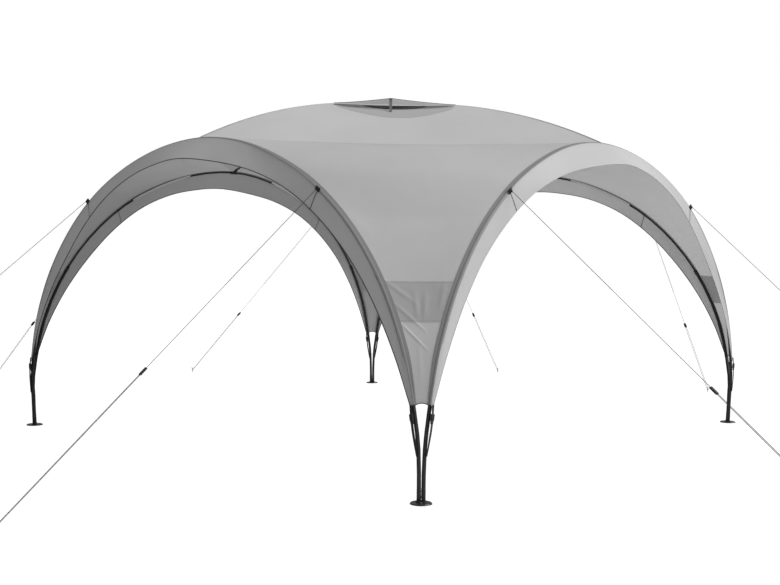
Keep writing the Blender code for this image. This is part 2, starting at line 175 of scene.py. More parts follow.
def finish_node(name, material):
    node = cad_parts[name]
    node.data.materials.clear()
    node.data.materials.append(material)


for side_name in SIDES:
    finish_node("arch_pole_" + side_name, powder_black)
    finish_node("apex_tee_" + side_name, tee_black)
    for hand_name in HANDS:
        finish_node(f"leg_{side_name}_{hand_name}", powder_black)
finish_node("ridge_pole_front_back", powder_black)
finish_node("ridge_pole_left_right", powder_black)


# Pole joints
# Where an arch pole plugs into its leg, the leg has a swaged collar with a spring button. The
# pole's last hand's breadth carries a wider sleeve at the foot, pressed over the tube.
HALF = 1.75
LEG_PITCH = 0.0222
LEG_TOP = 1.095
LEG_RADIUS = 0.0105
ARCH = [
    (HALF - LEG_PITCH / sqrt(2), 0.0, 0.0),
    (1.738, 0.006, 0.180),
    (1.731, 0.016, 0.360),
    (1.654, 0.020, 0.708),
    (1.504, 0.014, 1.032),
    (1.285, 0.003, 1.315),
    (1.012, -0.008, 1.544),
    (0.694, -0.022, 1.710),
    (0.355, -0.041, 1.817),
    (0.0, -0.054, 1.856),
]
COLLAR_RADIUS = 0.0121
COLLAR_LENGTH = 0.030
FOOT_SLEEVE_RADIUS = 0.01085
FOOT_SLEEVE_BOTTOM = 0.017
FOOT_SLEEVE_TOP = 0.075


def spline(points, place):
    """A smooth curve through the points, at place 0 to 1 along their list."""
    last = len(points) - 1
    index = min(int(place * last), last - 1)
    t = place * last - index
    here, after = Vector(points[index]), Vector(points[index + 1])
    before = Vector(points[index - 1]) if index > 0 else 2 * here - after
    if index + 2 <= last:
        beyond = Vector(points[index + 2])
    else:
        beyond = Vector((-points[last - 1][0], points[last - 1][1], points[last - 1][2]))
    slope = (after - before) / 2
    next_slope = (beyond - here) / 2
    return (
        (2 * t**3 - 3 * t**2 + 1) * here
        + (t**3 - 2 * t**2 + t) * slope
        + (3 * t**2 - 2 * t**3) * after
        + (t**3 - t**2) * next_slope
    )


def place_at_height(points, height):
    low, high = 0.0, 1.0
    for _ in range(30):
        middle = (low + high) / 2
        if spline(points, middle).z < height:
            low = middle
        else:
            high = middle
    return low


def to_front(point):
    """Middle distance, lean and height of an arch point, set on the front side."""
    return Vector((point.x, -HALF - point.y, point.z))


def turn(index):
    return Matrix.Rotation(index * pi / 2, 4, "Z")


def add_piece(name, builder, material, smooth=0.6):
    """A finished mesh that rides on the tent and takes its finish from a slot."""
    mesh = bpy.data.meshes.new(name)
    builder.to_mesh(mesh)
    builder.free()
    mesh.materials.append(material)
    mesh.shade_smooth()
    if smooth:
        mesh.set_sharp_from_angle(angle=smooth)
    piece = bpy.data.objects.new(name, mesh)
    bpy.context.scene.collection.objects.link(piece)
    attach(piece, "root")
    return piece


def add_turned_ring(builder, start, end, radius, bevel):
    """A bevelled drum between two points, added to the builder."""
    axis = end - start
    turned = axis.to_track_quat("Z", "Y").to_matrix().to_4x4()
    made = bmesh.ops.create_cone(
        builder, cap_ends=True, segments=24, radius1=radius, radius2=radius, depth=axis.length,
        matrix=Matrix.Translation((start + end) / 2) @ turned,
    )
    rim = [
        edge for edge in {e for v in made["verts"] for e in v.link_edges}
        if len(edge.link_faces) == 2 and any(len(f.verts) > 4 for f in edge.link_faces)
    ]
    bmesh.ops.bevel(
        builder, geom=rim, offset=bevel, segments=2, profile=0.5, affect="EDGES", material=-1,
    )


def leg_point(side, hand, place):
    """A point on a leg's own line."""
    point = spline(ARCH, place)
    sign = -1 if hand == "left" else 1
    return turn(side) @ to_front(Vector((sign * point.x, point.y, point.z)))


LEG_PLACE = place_at_height(ARCH, LEG_TOP)
for side_index, side_name in enumerate(SIDES):
    fittings = bmesh.new()
    for hand_name in HANDS:
        collar_low = leg_point(side_index, hand_name, place_at_height(ARCH, LEG_TOP - COLLAR_LENGTH))
        collar_high = leg_point(side_index, hand_name, place_at_height(ARCH, LEG_TOP + 0.004))
        add_turned_ring(fittings, collar_low, collar_high, COLLAR_RADIUS, 0.0015)
        sleeve_low = leg_point(side_index, hand_name, place_at_height(ARCH, FOOT_SLEEVE_BOTTOM))
        sleeve_high = leg_point(side_index, hand_name, place_at_height(ARCH, FOOT_SLEEVE_TOP))
        add_turned_ring(fittings, sleeve_low, sleeve_high, FOOT_SLEEVE_RADIUS, 0.001)
    add_piece("pole_collars_" + side_name, fittings, powder_black)


# Feet
# Each pair of legs stands on a round steel plate. A riveted lug between the two legs carries a
# split ring for a ground pin.
RING_RADIUS = 0.011
RING_WIRE = 0.0016
RING_HEIGHT = 0.050
RIVET_RADIUS = 0.0042
RIVET_HEIGHT = 0.024
LUG_STAND = 0.004

foot_black = make_coated_steel("foot_plate_black", (0.014, 0.014, 0.014), (0.045, 0.045, 0.044), 0.38, 0.0)
bright_steel = make_coated_steel("zinc_plated_steel", (0.42, 0.42, 0.43), (0.30, 0.30, 0.30), 0.32, 0.9)


def make_foot_hardware(corner):
    middle = HALF - LEG_PITCH / sqrt(2) / 2
    outward = Vector((-1, -1, 0)).normalized()
    lug = Vector((-middle, -middle, 0.0)) + outward * LUG_STAND
    hardware = bmesh.new()
    ring_centre = lug + Vector((0, 0, RING_HEIGHT))
    wire_turn = Matrix.Rotation(pi / 2, 4, Vector((1, -1, 0)).normalized().cross(Vector((0, 0, 1))))
    wire_place = Matrix.Translation(ring_centre + Vector((0, 0, RING_RADIUS))) @ wire_turn
    wire = bmesh.ops.create_circle(hardware, segments=10, radius=RING_WIRE, matrix=wire_place)
    bmesh.ops.spin(
        hardware, geom=wire["verts"] + list(hardware.edges), cent=ring_centre, axis=outward,
        angle=2 * pi, steps=28, use_merge=True,
    )
    bmesh.ops.remove_doubles(hardware, verts=hardware.verts, dist=0.00002)
    bmesh.ops.recalc_face_normals(hardware, faces=hardware.faces)
    rivet = lug + Vector((0, 0, RIVET_HEIGHT))
    add_turned_ring(hardware, rivet, rivet + outward * 0.009, RIVET_RADIUS, 0.001)
    base = lug + Vector((0, 0, 0.0062)) + outward * 0.012
    add_turned_ring(hardware, base, base + Vector((0, 0, 0.004)), RIVET_RADIUS, 0.001)
    lug_top = lug + Vector((0, 0, RING_HEIGHT - RING_RADIUS - RING_WIRE))
    add_turned_ring(hardware, lug + Vector((0, 0, 0.006)), lug_top, 0.002, 0.0004)
    hardware.transform(turn(corner))
    add_piece("foot_ring_" + CORNERS[corner], hardware, bright_steel)


for corner_index in range(4):
    finish_node("foot_plate_" + CORNERS[corner_index], foot_black)
    make_foot_hardware(corner_index)


# Roof sheet
# Four gores of coated grey polyester, sewn on the ridges and drawn tight over the crossed
# poles. It runs out to the arches' tops, and its front left gore has the vent's opening.
SHEET_CLEARANCE = LEG_RADIUS + 0.0009
RIDGE_TOP = 2.2365
RIDGE_DROP = 0.12
RUNG_SAG = 0.011
HEM_HEIGHT = 0.475
ROOF_COLUMNS = 44
ROOF_ROWS = 32
OPENING_BACK = 0.62
OPENING_DEPTH = 0.25
OPENING_HALF = 0.25


def make_weave_group():
    """Plain weave on the cloth's own map, with soft clouding and the marks of folding."""
    group = bpy.data.node_groups.new("woven_polyester", "ShaderNodeTree")
    group.interface.new_socket("Threads", in_out="INPUT", socket_type="NodeSocketFloat")
    group.interface.new_socket("Crumple", in_out="INPUT", socket_type="NodeSocketFloat")
    group.interface.new_socket("Weave", in_out="OUTPUT", socket_type="NodeSocketFloat")
    group.interface.new_socket("Cloud", in_out="OUTPUT", socket_type="NodeSocketFloat")
    group.interface.new_socket("Creases", in_out="OUTPUT", socket_type="NodeSocketFloat")
    start = group.nodes.new("NodeGroupInput")
    end = group.nodes.new("NodeGroupOutput")
    cloth = group.nodes.new("ShaderNodeUVMap")
    cloth.uv_map = "cloth"
    warp = add_node(group, "ShaderNodeTexWave", Vector=cloth.outputs["UV"], Scale=start.outputs["Threads"])
    weft = add_node(group, "ShaderNodeTexWave", Vector=cloth.outputs["UV"], Scale=start.outputs["Threads"])
    warp.bands_direction = "X"
    weft.bands_direction = "Y"
    crossed = group.nodes.new("ShaderNodeMath")
    crossed.operation = "MULTIPLY"
    group.links.new(warp.outputs["Fac"], crossed.inputs[0])
    group.links.new(weft.outputs["Fac"], crossed.inputs[1])
    place = group.nodes.new("ShaderNodeTexCoord")
    cloud = add_node(group, "ShaderNodeTexNoise", Vector=place.outputs["Object"], Scale=1.7, Detail=4.0)
    crumple = add_node(group, "ShaderNodeTexNoise", Vector=place.outputs["Object"],
                       Scale=start.outputs["Crumple"], Detail=5.0, Roughness=0.5, Distortion=0.7)
    group.links.new(crossed.outputs[0], end.inputs["Weave"])
    group.links.new(cloud.outputs["Fac"], end.inputs["Cloud"])
    group.links.new(crumple.outputs["Fac"], end.inputs["Creases"])
    return group


def math_node(tree, operation, first, second=None, third=None):
    node = tree.nodes.new("ShaderNodeMath")
    node.operation = operation
    for socket, value in zip(node.inputs, (first, second, third)):
        if isinstance(value, bpy.types.NodeSocket):
            tree.links.new(value, socket)
        elif value is not None:
            socket.default_value = value
    return node.outputs[0]


def make_stitch_group():
    """Two rows of lockstitch at these distances across the cloth's own map."""
    group = bpy.data.node_groups.new("lockstitch_rows", "ShaderNodeTree")
    group.interface.new_socket("Row", in_out="INPUT", socket_type="NodeSocketFloat")
    group.interface.new_socket("Far Row", in_out="INPUT", socket_type="NodeSocketFloat")
    group.interface.new_socket("Stitch", in_out="OUTPUT", socket_type="NodeSocketFloat")
    start = group.nodes.new("NodeGroupInput")
    end = group.nodes.new("NodeGroupOutput")
    cloth = group.nodes.new("ShaderNodeUVMap")
    cloth.uv_map = "cloth"
    parts = group.nodes.new("ShaderNodeSeparateXYZ")
    group.links.new(cloth.outputs["UV"], parts.inputs[0])
    near_row = math_node(group, "COMPARE", parts.outputs["Y"], start.outputs["Row"], 0.0006)
    far_row = math_node(group, "COMPARE", parts.outputs["Y"], start.outputs["Far Row"], 0.0006)
    rows = math_node(group, "MAXIMUM", near_row, far_row)
    length = math_node(group, "MULTIPLY", parts.outputs["X"], 250.0)
    dashes = math_node(group, "GREATER_THAN", math_node(group, "FRACT", length), 0.3)
    group.links.new(math_node(group, "MULTIPLY", rows, dashes), end.inputs["Stitch"])
    return group


weave_group = make_weave_group()
stitch_group = make_stitch_group()


def make_cloth(name, tone, crumple=3.2, crease_depth=0.006, clear=0.25, stitches=None):
    """Coated polyester: grey with soft clouding, a fine weave, creases, and light let through."""
    material, tree, shader = new_material(name)
    weave = add_group(tree, weave_group, Threads=420.0, Crumple=crumple)
    cloud = spread_mask(tree, weave.outputs["Cloud"], 0.35, 0.65)
    colour = blend_colours(tree, cloud, (tone * 0.94,) * 3, (tone,) * 3)
    if stitches:
        sewn = add_group(tree, stitch_group, **{"Row": stitches[0], "Far Row": stitches[1]})
        thread = tree.nodes.new("ShaderNodeMix")
        thread.data_type = "RGBA"
        tree.links.new(sewn.outputs["Stitch"], thread.inputs[0])
        tree.links.new(colour, thread.inputs[6])
        thread.inputs[7].default_value = (tone * 0.4, tone * 0.4, tone * 0.4, 1.0)
        colour = thread.outputs[2]
    tree.links.new(colour, shader.inputs["Base Color"])
    rough = spread_mask(tree, weave.outputs["Weave"], 0.0, 1.0, 0.60, 0.74)
    tree.links.new(rough, shader.inputs["Roughness"])
    shader.inputs["Specular IOR Level"].default_value = 0.25
    creases = tree.nodes.new("ShaderNodeBump")
    creases.inputs["Strength"].default_value = 0.5
    creases.inputs["Distance"].default_value = crease_depth
    tree.links.new(weave.outputs["Creases"], creases.inputs["Height"])
    threads = tree.nodes.new("ShaderNodeBump")
    threads.inputs["Strength"].default_value = 0.15
    threads.inputs["Distance"].default_value = 0.0002
    tree.links.new(weave.outputs["Weave"], threads.inputs["Height"])
    tree.links.new(creases.outputs["Normal"], threads.inputs["Normal"])
    tree.links.new(threads.outputs["Normal"], shader.inputs["Normal"])
    if clear:
        through = tree.nodes.new("ShaderNodeBsdfTranslucent")
        tree.links.new(colour, through.inputs["Color"])
        mix = tree.nodes.new("ShaderNodeMixShader")
        mix.inputs["Fac"].default_value = clear
        tree.links.new(shader.outputs[0], mix.inputs[1])
        tree.links.new(through.outputs[0], mix.inputs[2])
        tree.links.new(mix.outputs[0], tree.nodes["Material Output"].inputs["Surface"])
    return material


canopy_cloth = make_cloth("canopy_polyester", 0.59, crease_depth=0.004, clear=0.3)


def arch_normal(place):
    """The direction away from the opening, in the plane of the arch."""
    step = 0.002
    along = spline(ARCH, min(place + step, 1.0)) - spline(ARCH, max(place - step, 0.0))
    if place + step > 1.0:
        along.z = 0.0
    return Vector((along.z, 0.0, -along.x)).normalized()


def canopy_edge(place):
    """Where a sheet ends on top of its arch, just clear of the pole."""
    return spline(ARCH, place) + arch_normal(place) * SHEET_CLEARANCE


SEAM_DISTANCE = HALF + canopy_edge(1.0).y
SEAM_SLIP = canopy_edge(1.0).z - RIDGE_TOP + RIDGE_DROP * SEAM_DISTANCE**2


def ridge_height(distance):
    """The sheet's underside along a ridge, which ends at the height of the seam."""
    return RIDGE_TOP - RIDGE_DROP * distance**2 + SEAM_SLIP * (distance / SEAM_DISTANCE) ** 4


def roof_point(distance, across):
    """A roof point by its ridge distance and its place from the left ridge to the front one."""
    sag = RUNG_SAG * 4 * across * (1 - across) * distance * sqrt(2)
    return Vector((-distance * (1 - across), -distance * across, ridge_height(distance) - sag))


def lay_grid(builder, columns, rows, width, length, place_point, matrix=None):
    """A grid laid by place_point(a, b), both 0 to 1, with its cut size kept as its cloth map."""
    map_layer = builder.loops.layers.uv.get("cloth") or builder.loops.layers.uv.new("cloth")
    made = bmesh.ops.create_grid(builder, x_segments=columns, y_segments=rows, size=0.5)
    faces = {face for vertex in made["verts"] for face in vertex.link_faces}
    for face in faces:
        for loop in face.loops:
            loop[map_layer].uv = ((loop.vert.co.x + 0.5) * width, (loop.vert.co.y + 0.5) * length)
    for vertex in made["verts"]:
        spot = place_point(vertex.co.x + 0.5, vertex.co.y + 0.5)
        vertex.co = matrix @ spot if matrix else spot


TENT_MIDDLE = Vector((0.0, 0.0, 0.9))


def face_out(builder):
    """Turns every face of an open sheet away from the middle of the tent."""
    builder.normal_update()
    inward = [
        face for face in builder.faces
        if face.normal.dot(face.calc_center_median() - TENT_MIDDLE) < 0
    ]
    bmesh.ops.reverse_faces(builder, faces=inward)


def add_cloth(name, builder, material, weld=True):
    if weld:
        bmesh.ops.remove_doubles(builder, verts=builder.verts, dist=0.0001)
    face_out(builder)
    return add_piece(name, builder, material, smooth=0.0)


def opening_edge(across):
    """Ridge distance of the vent opening's lower edge."""
    aside = (across - 0.5) / OPENING_HALF
    return OPENING_BACK + OPENING_DEPTH * max(0.0, 1 - aside**2)


def make_roof_cloth():
    builder = bmesh.new()
    gore = SEAM_DISTANCE * sqrt(2)

    def whole(a, b):
        return roof_point(a * SEAM_DISTANCE, b)

    def above_vent(a, b):
        return roof_point(a * OPENING_BACK, b)

    def below_vent(a, b):
        start = opening_edge(b)
        return roof_point(start + (SEAM_DISTANCE - start) * a, b)

    for corner in range(1, 4):
        lay_grid(builder, ROOF_COLUMNS, ROOF_ROWS, SEAM_DISTANCE, gore, whole, turn(corner))
    lay_grid(builder, 16, ROOF_ROWS, OPENING_BACK, gore, above_vent)
    lay_grid(builder, 28, ROOF_ROWS, SEAM_DISTANCE, gore, below_vent)
    return add_cloth("roof_cloth", builder, canopy_cloth)


roof_cloth = make_roof_cloth()
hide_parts("roof_panel")

# Ridge seams
# The gores meet in flat felled seams, a folded strip with two rows of stitches along each
# ridge, which lies on the pole below it.
SEAM_WIDTH = 0.012
CLOTH_STEP = 0.0011

seam_cloth = make_cloth("seam_polyester", 0.50, stitches=(0.002, 0.010))


def ridge_seam_point(a, b):
    distance = 0.02 + (SEAM_DISTANCE - 0.03) * a
    return Vector((SEAM_WIDTH * (b - 0.5), -distance, ridge_height(distance) + CLOTH_STEP))


ridge_seams = bmesh.new()
for side_index in range(4):
    lay_grid(ridge_seams, 40, 2, SEAM_DISTANCE, SEAM_WIDTH, ridge_seam_point, turn(side_index))
seam_piece = add_cloth("ridge_seams", ridge_seams, seam_cloth)


# Corner panels
# A tapering panel of the same cloth closes each corner, from the roof's seam down between two
# arches to a short curved hem. A doubled band across it takes the pull of the legs.
CORNER_ROWS = 150
CORNER_COLUMNS = 72
FOLDS_LOW = 0.69
FOLDS_HIGH = 1.08
CREASE_HEIGHT = 1.60
CREASE_REACH = 0.20
CREASE_LIFT = 0.050
HEM_RISE = 0.0028
BAND_BOTTOM = 0.86
BAND_TOP = 1.055

# Folds: start and end as distance from the middle towards the left arch and height, then the
# breadth and the lift of the fold
CORNER_FOLDS = [
    (0.185, 1.072, 0.020, 0.952, 0.0062, 0.0044),
    (0.135, 0.960, -0.022, 0.822, 0.0058, 0.0042),
    (0.100, 0.862, -0.030, 0.732, 0.0054, 0.0040),
    (0.028, 1.020, 0.014, 0.880, 0.010, 0.0032),
    (-0.030, 1.010, -0.016, 0.880, 0.010, 0.0034),
    (-0.125, 1.060, -0.095, 0.930, 0.009, 0.0034),
    (0.012, 0.800, 0.004, 0.560, 0.012, 0.0014),
    (-0.52, 1.500, -0.22, 1.330, 0.030, 0.0032),
    (0.52, 1.500, 0.24, 1.300, 0.030, 0.0030),
    (0.40, 1.740, 0.62, 1.690, 0.022, 0.0032),
    (0.46, 1.770, 0.66, 1.730, 0.016, 0.0026),
    (-0.30, 1.250, -0.12, 1.100, 0.022, 0.0026),
]

panel_cloth = make_cloth("corner_polyester", 0.54, crumple=4.5, crease_depth=0.005, clear=0.3)
band_cloth = make_cloth("corner_band_polyester", 0.45, crumple=7.0, stitches=(0.006, 0.189))
lining_cloth = make_cloth("corner_lining_polyester", 0.60, crumple=7.0)
roof_seam_cloth = make_cloth("roof_seam_polyester", 0.42, stitches=(0.002, 0.010))
# Painted light and shade: one binding cord in two tones, near black where an edge is in shade or seen against the
# light, mid grey where the key lights it.
piping_painted_shade = make_cloth("edge_piping_painted_shade", 0.10, clear=0.0)
piping_painted_lit = make_cloth("edge_piping_painted_lit", 0.50, clear=0.0)

HEM_PLACE = place_at_height(ARCH, HEM_HEIGHT)
ROOF_SEAM_DIP = 0.095
ROOF_SEAM_WIDTH = 0.0022


def fold_lift(folds, aside, height):
    """How far the folds lift the cloth at this distance from the middle and this height."""
    lift = 0.0
    spot = Vector((aside, height))
    for start_aside, start_height, end_aside, end_height, breadth, rise in folds:
        start = Vector((start_aside, start_height))
        run = Vector((end_aside, end_height)) - start
        along = max(0.0, min(1.0, (spot - start).dot(run) / run.length_squared))
        away = (spot - start - run * along).length
        lift += rise * exp(-((away / breadth) ** 2)) * (0.35 + 0.65 * sin(pi * along))
    return lift


def corner_point(place, across, stand=0.0):
    """A corner point by its place up the arches and from the front arch to the left one."""
    edge = canopy_edge(place)
    front = to_front(Vector((-max(edge.x, 0.0), edge.y, edge.z)))
    left = Vector((front.y, front.x, front.z))
    normal = arch_normal(place)
    inward = Vector((normal.x, normal.x, -2 * normal.z)).normalized()
    width = (front - left).length
    bulge = 4 * across * (1 - across)
    lift = fold_lift(CORNER_FOLDS, (across - 0.5) * width, edge.z) * min(1.0, 3 * bulge)
    beside_crease = (edge.z - CREASE_HEIGHT) / CREASE_REACH
    lift += CREASE_LIFT * max(0.0, 1.08 - sqrt(beside_crease**2 + 0.0030)) * bulge
    return front.lerp(left, across) + inward * (RUNG_SAG * bulge * width - lift * 0.8 - stand)


def panel_place(a, b):
    """Place up the arches, over a hem that rises in its middle, with closer rows at the folds."""
    hem = HEM_PLACE + HEM_RISE * (4 * b * (1 - b) - 0.4)
    low = place_at_height(ARCH, FOLDS_LOW)
    high = place_at_height(ARCH, FOLDS_HIGH)
    if a < 0.1:
        return hem + (low - hem) * a / 0.1
    if a < 0.62:
        return low + (high - low) * (a - 0.1) / 0.52
    return high + (1 - high) * (a - 0.62) / 0.38


def make_corner_cloth(corner):
    builder = bmesh.new()

    def point(a, b):
        return corner_point(panel_place(a, b), b)

    lay_grid(builder, CORNER_ROWS, CORNER_COLUMNS, 2.1, 2.5, point, turn(corner))
    return add_cloth("corner_cloth_" + CORNERS[corner], builder, panel_cloth)


def make_roof_seam(corner):
    """The seam to the roof, which the pull of the cloth draws down in its middle."""
    builder = bmesh.new()

    def point(a, b):
        place = 1 - ROOF_SEAM_DIP * 4 * a * (1 - a) + ROOF_SEAM_WIDTH * (b - 0.5)
        return corner_point(place, a, CLOTH_STEP)

    lay_grid(builder, 96, 2, 2.4, SEAM_WIDTH, point, turn(corner))
    return add_cloth("roof_seam_" + CORNERS[corner], builder, roof_seam_cloth)


def make_corner_band(corner, name, stand, material):
    builder = bmesh.new()
    low = place_at_height(ARCH, BAND_BOTTOM)
    high = place_at_height(ARCH, BAND_TOP)

    def point(a, b):
        return corner_point(low + (high - low) * b, a, stand)

    lay_grid(builder, 32, 24, 0.45, BAND_TOP - BAND_BOTTOM, point, turn(corner))
    return add_cloth(name + CORNERS[corner], builder, material)


def add_piping(name, route, radius, material):
    """A round edge along a route of points, made from one swept circle."""
    curve = bpy.data.curves.new(name, "CURVE")
    curve.dimensions = "3D"
    curve.bevel_depth = radius
    curve.bevel_resolution = 2
    curve.use_fill_caps = True
    run = curve.splines.new("POLY")
    run.points.add(len(route) - 1)
    for point, spot in zip(run.points, route):
        point.co = (*spot, 1.0)
    swept = bpy.data.objects.new(name + "_route", curve)
    mesh = bpy.data.meshes.new_from_object(swept)
    bpy.data.objects.remove(swept)
    builder = bmesh.new()
    builder.from_mesh(mesh)
    bpy.data.meshes.remove(mesh)
    return add_piece(name, builder, material)


for corner_index, corner_name in enumerate(CORNERS):
    corner_cloth = make_corner_cloth(corner_index)
    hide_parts("corner_panel_" + corner_name)
    band = make_corner_band(corner_index, "corner_band_", CLOTH_STEP, band_cloth)
    lining = make_corner_band(corner_index, "corner_lining_", -CLOTH_STEP, lining_cloth)
    hem_route = [turn(corner_index) @ corner_point(panel_place(0.0, step / 16), step / 16) for step in range(17)]
    # The hem's binding takes the near black piping, a painted shade.
    hem = add_piping("corner_hem_" + corner_name, hem_route, 0.0026, piping_painted_shade)
    roof_seam = make_roof_seam(corner_index)


# Pole sleeves
# A strip of the same cloth is folded over each arch pole and sewn to the roof and the
# corner panels on one side, and to the visor on the other. Its darker tone is painted shade,
# the shadow along the pole laid into the cloth's colour.
SLEEVE_RADIUS = SHEET_CLEARANCE + CLOTH_STEP * 2
SLEEVE_END = radians(92)
SLEEVE_MARGIN = 0.017
SLEEVE_TAPER_TOP = 0.70
SLEEVE_WIDTH = SLEEVE_RADIUS * SLEEVE_END + SLEEVE_MARGIN
ARCH_COLUMNS = 120

# Painted shade: the sleeve's dark tone stands in for the shadow along each arch pole.
sleeve_painted_shade_cloth = make_cloth("sleeve_polyester_painted_shade", 0.28, stitches=(0.002, SLEEVE_WIDTH * 0.55))


def along_arch(along):
    """Side sign and place up the arch, for a run from the left hem over the top to the right hem."""
    signed = 2 * along - 1
    return (1 if signed > 0 else -1), HEM_PLACE + (1 - HEM_PLACE) * (1 - abs(signed))


def around_pole(along, angle, radius):
    sign, place = along_arch(along)
    spot = spline(ARCH, place) + arch_normal(place) * radius * cos(angle)
    spot.y += radius * sin(angle)
    return to_front(Vector((sign * spot.x, spot.y, spot.z)))


SLEEVE_TAPER_PLACE = place_at_height(ARCH, SLEEVE_TAPER_TOP)


def sleeve_point(along, across):
    """Flat on the panel over its margin, which narrows to the hem, then round the pole."""
    if across >= 0.5:
        return around_pole(along, SLEEVE_END * (2 * across - 1), SLEEVE_RADIUS)
    sign, place = along_arch(along)
    width = (HALF + canopy_edge(place).y - max(canopy_edge(place).x, 0.0)) * sqrt(2)
    taper = min(1.0, 0.3 + 0.7 * (place - HEM_PLACE) / (SLEEVE_TAPER_PLACE - HEM_PLACE))
    on_panel = SLEEVE_MARGIN * taper * (1 - 2 * across) / width
    spot = corner_point(place, min(on_panel, 0.42), CLOTH_STEP * 2)
    return Vector((-sign * spot.x, spot.y, spot.z))


for side_index, side_name in enumerate(SIDES):
    sleeve = bmesh.new()
    lay_grid(sleeve, ARCH_COLUMNS, 10, 4.6, SLEEVE_WIDTH, sleeve_point, turn(side_index))
    add_cloth("pole_sleeve_" + side_name, sleeve, sleeve_painted_shade_cloth)

# Pole pockets
# Inside, each half of an arch pole runs through a pocket of canopy cloth between the tie point
# and the top, sewn flat to the panel and the visor, so the black pole shows only beyond it. The
# pocket's cloth is painted lighter than the canopy, a painted light that washes out the shade
# behind the pole.
POCKET_LOW = 1.590
POCKET_HIGH = 1.800
POCKET_START = radians(-64)
POCKET_TURN = radians(-206)
POCKET_SPREAD = 0.0215
POCKET_DROP = 0.0092
POCKET_TAPER = 0.16

# Painted light: the pocket's tone is raised above the canopy's to cover the shade the pole throws through it.
pocket_painted_light_cloth = make_cloth("pocket_polyester_painted_light", 0.80, crumple=9.0, clear=0.15)
POCKET_ENDS = [
    (place_at_height(ARCH, height) - HEM_PLACE) / (1 - HEM_PLACE) / 2 for height in (POCKET_LOW, POCKET_HIGH)
]


def pocket_point(a, b):
    """On the left half of an arch, from the panel round below the pole to the visor."""
    along = POCKET_ENDS[0] + (POCKET_ENDS[1] - POCKET_ENDS[0]) * a
    full = min(1.0, a / POCKET_TAPER, (1 - a) / POCKET_TAPER)
    drop = 0.002 + (POCKET_DROP - 0.002) * full
    reach = POCKET_SPREAD + (SHEET_CLEARANCE - POCKET_SPREAD) * b
    radius = reach + (drop - reach) * sin(pi * b) ** 1.5
    return around_pole(along, POCKET_START + POCKET_TURN * b, radius)


def far_pocket_point(a, b):
    spot = pocket_point(a, b)
    return Vector((-spot.x, spot.y, spot.z))


for side_index, side_name in enumerate(SIDES):
    pocket = bmesh.new()
    lay_grid(pocket, 32, 14, 0.7, 0.05, pocket_point, turn(side_index))
    lay_grid(pocket, 32, 14, 0.7, 0.05, far_pocket_point, turn(side_index))
    add_cloth("pole_pockets_" + side_name, pocket, pocket_painted_light_cloth)


# Visors
# A shaped strip of cloth hangs from each sleeve and stands out over the opening. Its free edge
# is bound with piping, and a short seam crosses it at each tie point.
VISOR_EDGE = [
    (1.712, 0.032, 0.449),
    (1.600, 0.035, 0.713),
    (1.455, 0.028, 0.958),
    (1.275, 0.018, 1.183),
    (1.065, 0.022, 1.380),
    (0.827, 0.031, 1.539),
    (0.562, 0.050, 1.647),
    (0.283, 0.083, 1.707),
    (0.0, 0.106, 1.734),
]
PIPING_RADIUS = 0.0028
TIE_HEIGHT = 1.52

visor_seam_cloth = make_cloth("visor_seam_polyester", 0.16)
visor_cloth = make_cloth("visor_polyester", 0.54, crumple=2.4, crease_depth=0.007)


def visor_point(along, across, stand=0.0):
    sign, place = along_arch(along)
    root = spline(ARCH, place) + arch_normal(place) * SLEEVE_RADIUS * 0.5
    root.y += SLEEVE_RADIUS * 0.9
    free = spline(VISOR_EDGE, 1 - abs(2 * along - 1))
    free.y = max(free.y, SHEET_CLEARANCE)
    spot = root.lerp(free, across)
    ripple = 0.004 * sin(pi * across) * sin(along * 37.0) * sin(along * 11.0 + 1.0)
    spot.y += ripple + stand
    return to_front(Vector((sign * spot.x, spot.y, spot.z)))


TIE_ALONG = (place_at_height(ARCH, TIE_HEIGHT) - HEM_PLACE) / (1 - HEM_PLACE) / 2
for side_index, side_name in enumerate(SIDES):
    visor = bmesh.new()
    lay_grid(visor, ARCH_COLUMNS, 12, 4.6, 0.2, visor_point, turn(side_index))
    visor_piece = add_cloth("visor_cloth_" + side_name, visor, visor_cloth)
    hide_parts("visor_" + side_name)
    free_edge = [turn(side_index) @ visor_point(step / 160, 1.0) for step in range(161)]
    # Painted light and shade: the lit front visor's edge gets the mid grey piping, and the shaded visors get the
    # near black one, though it is one binding.
    lit_or_shaded_piping = piping_painted_lit if side_name == "front" else piping_painted_shade
    piping = add_piping("visor_piping_" + side_name, free_edge, PIPING_RADIUS, lit_or_shaded_piping)
    visor_seams = bmesh.new()
    for middle, stand in product((TIE_ALONG, 1 - TIE_ALONG), (0.0012, -0.0012)):
        def tie_seam(a, b):
            return visor_point(middle + 0.0012 * (b - 0.5), 0.02 + 0.96 * a, stand)

        lay_grid(visor_seams, 12, 2, 0.2, 0.006, tie_seam, turn(side_index))
    tie_seams = add_cloth("visor_seams_" + side_name, visor_seams, visor_seam_cloth)


# Roof vent
# A crescent opening in the front left gore is filled with black net. A hood sewn along its
# upper edge is held up in the middle by a stiff strip, and a broad facing lies round the net.
VENT_TIP = 0.577
HOOD_DEPTH = 0.30
HOOD_LIFT = 0.011
HOOD_DROOP = 0.03
HOOD_PEAK = 15 / 32
HOOD_END = 1 / 16
HOOD_STAND = 0.0036
FACING_START = 0.56
FACING_DEPTH = 0.60

hood_cloth = make_cloth("hood_polyester", 0.70, clear=0.42)
facing_cloth = make_cloth("vent_facing_polyester", 0.47, stitches=(0.004, 0.30))


def make_net():
    """Knitted black net: open cells on the cloth's own map."""
    material, tree, shader = new_material("black_net")
    weave = add_group(tree, weave_group, Threads=160.0, Crumple=6.0)
    cover = spread_mask(tree, weave.outputs["Weave"], 0.45, 0.6, 1.0, 0.55)
    tree.links.new(cover, shader.inputs["Alpha"])
    tone = spread_mask(tree, weave.outputs["Cloud"], 0.3, 0.7)
    tree.links.new(blend_colours(tree, tone, (0.010,) * 3, (0.016,) * 3), shader.inputs["Base Color"])
    shader.inputs["Roughness"].default_value = 0.8
    return material


net_black = make_net()


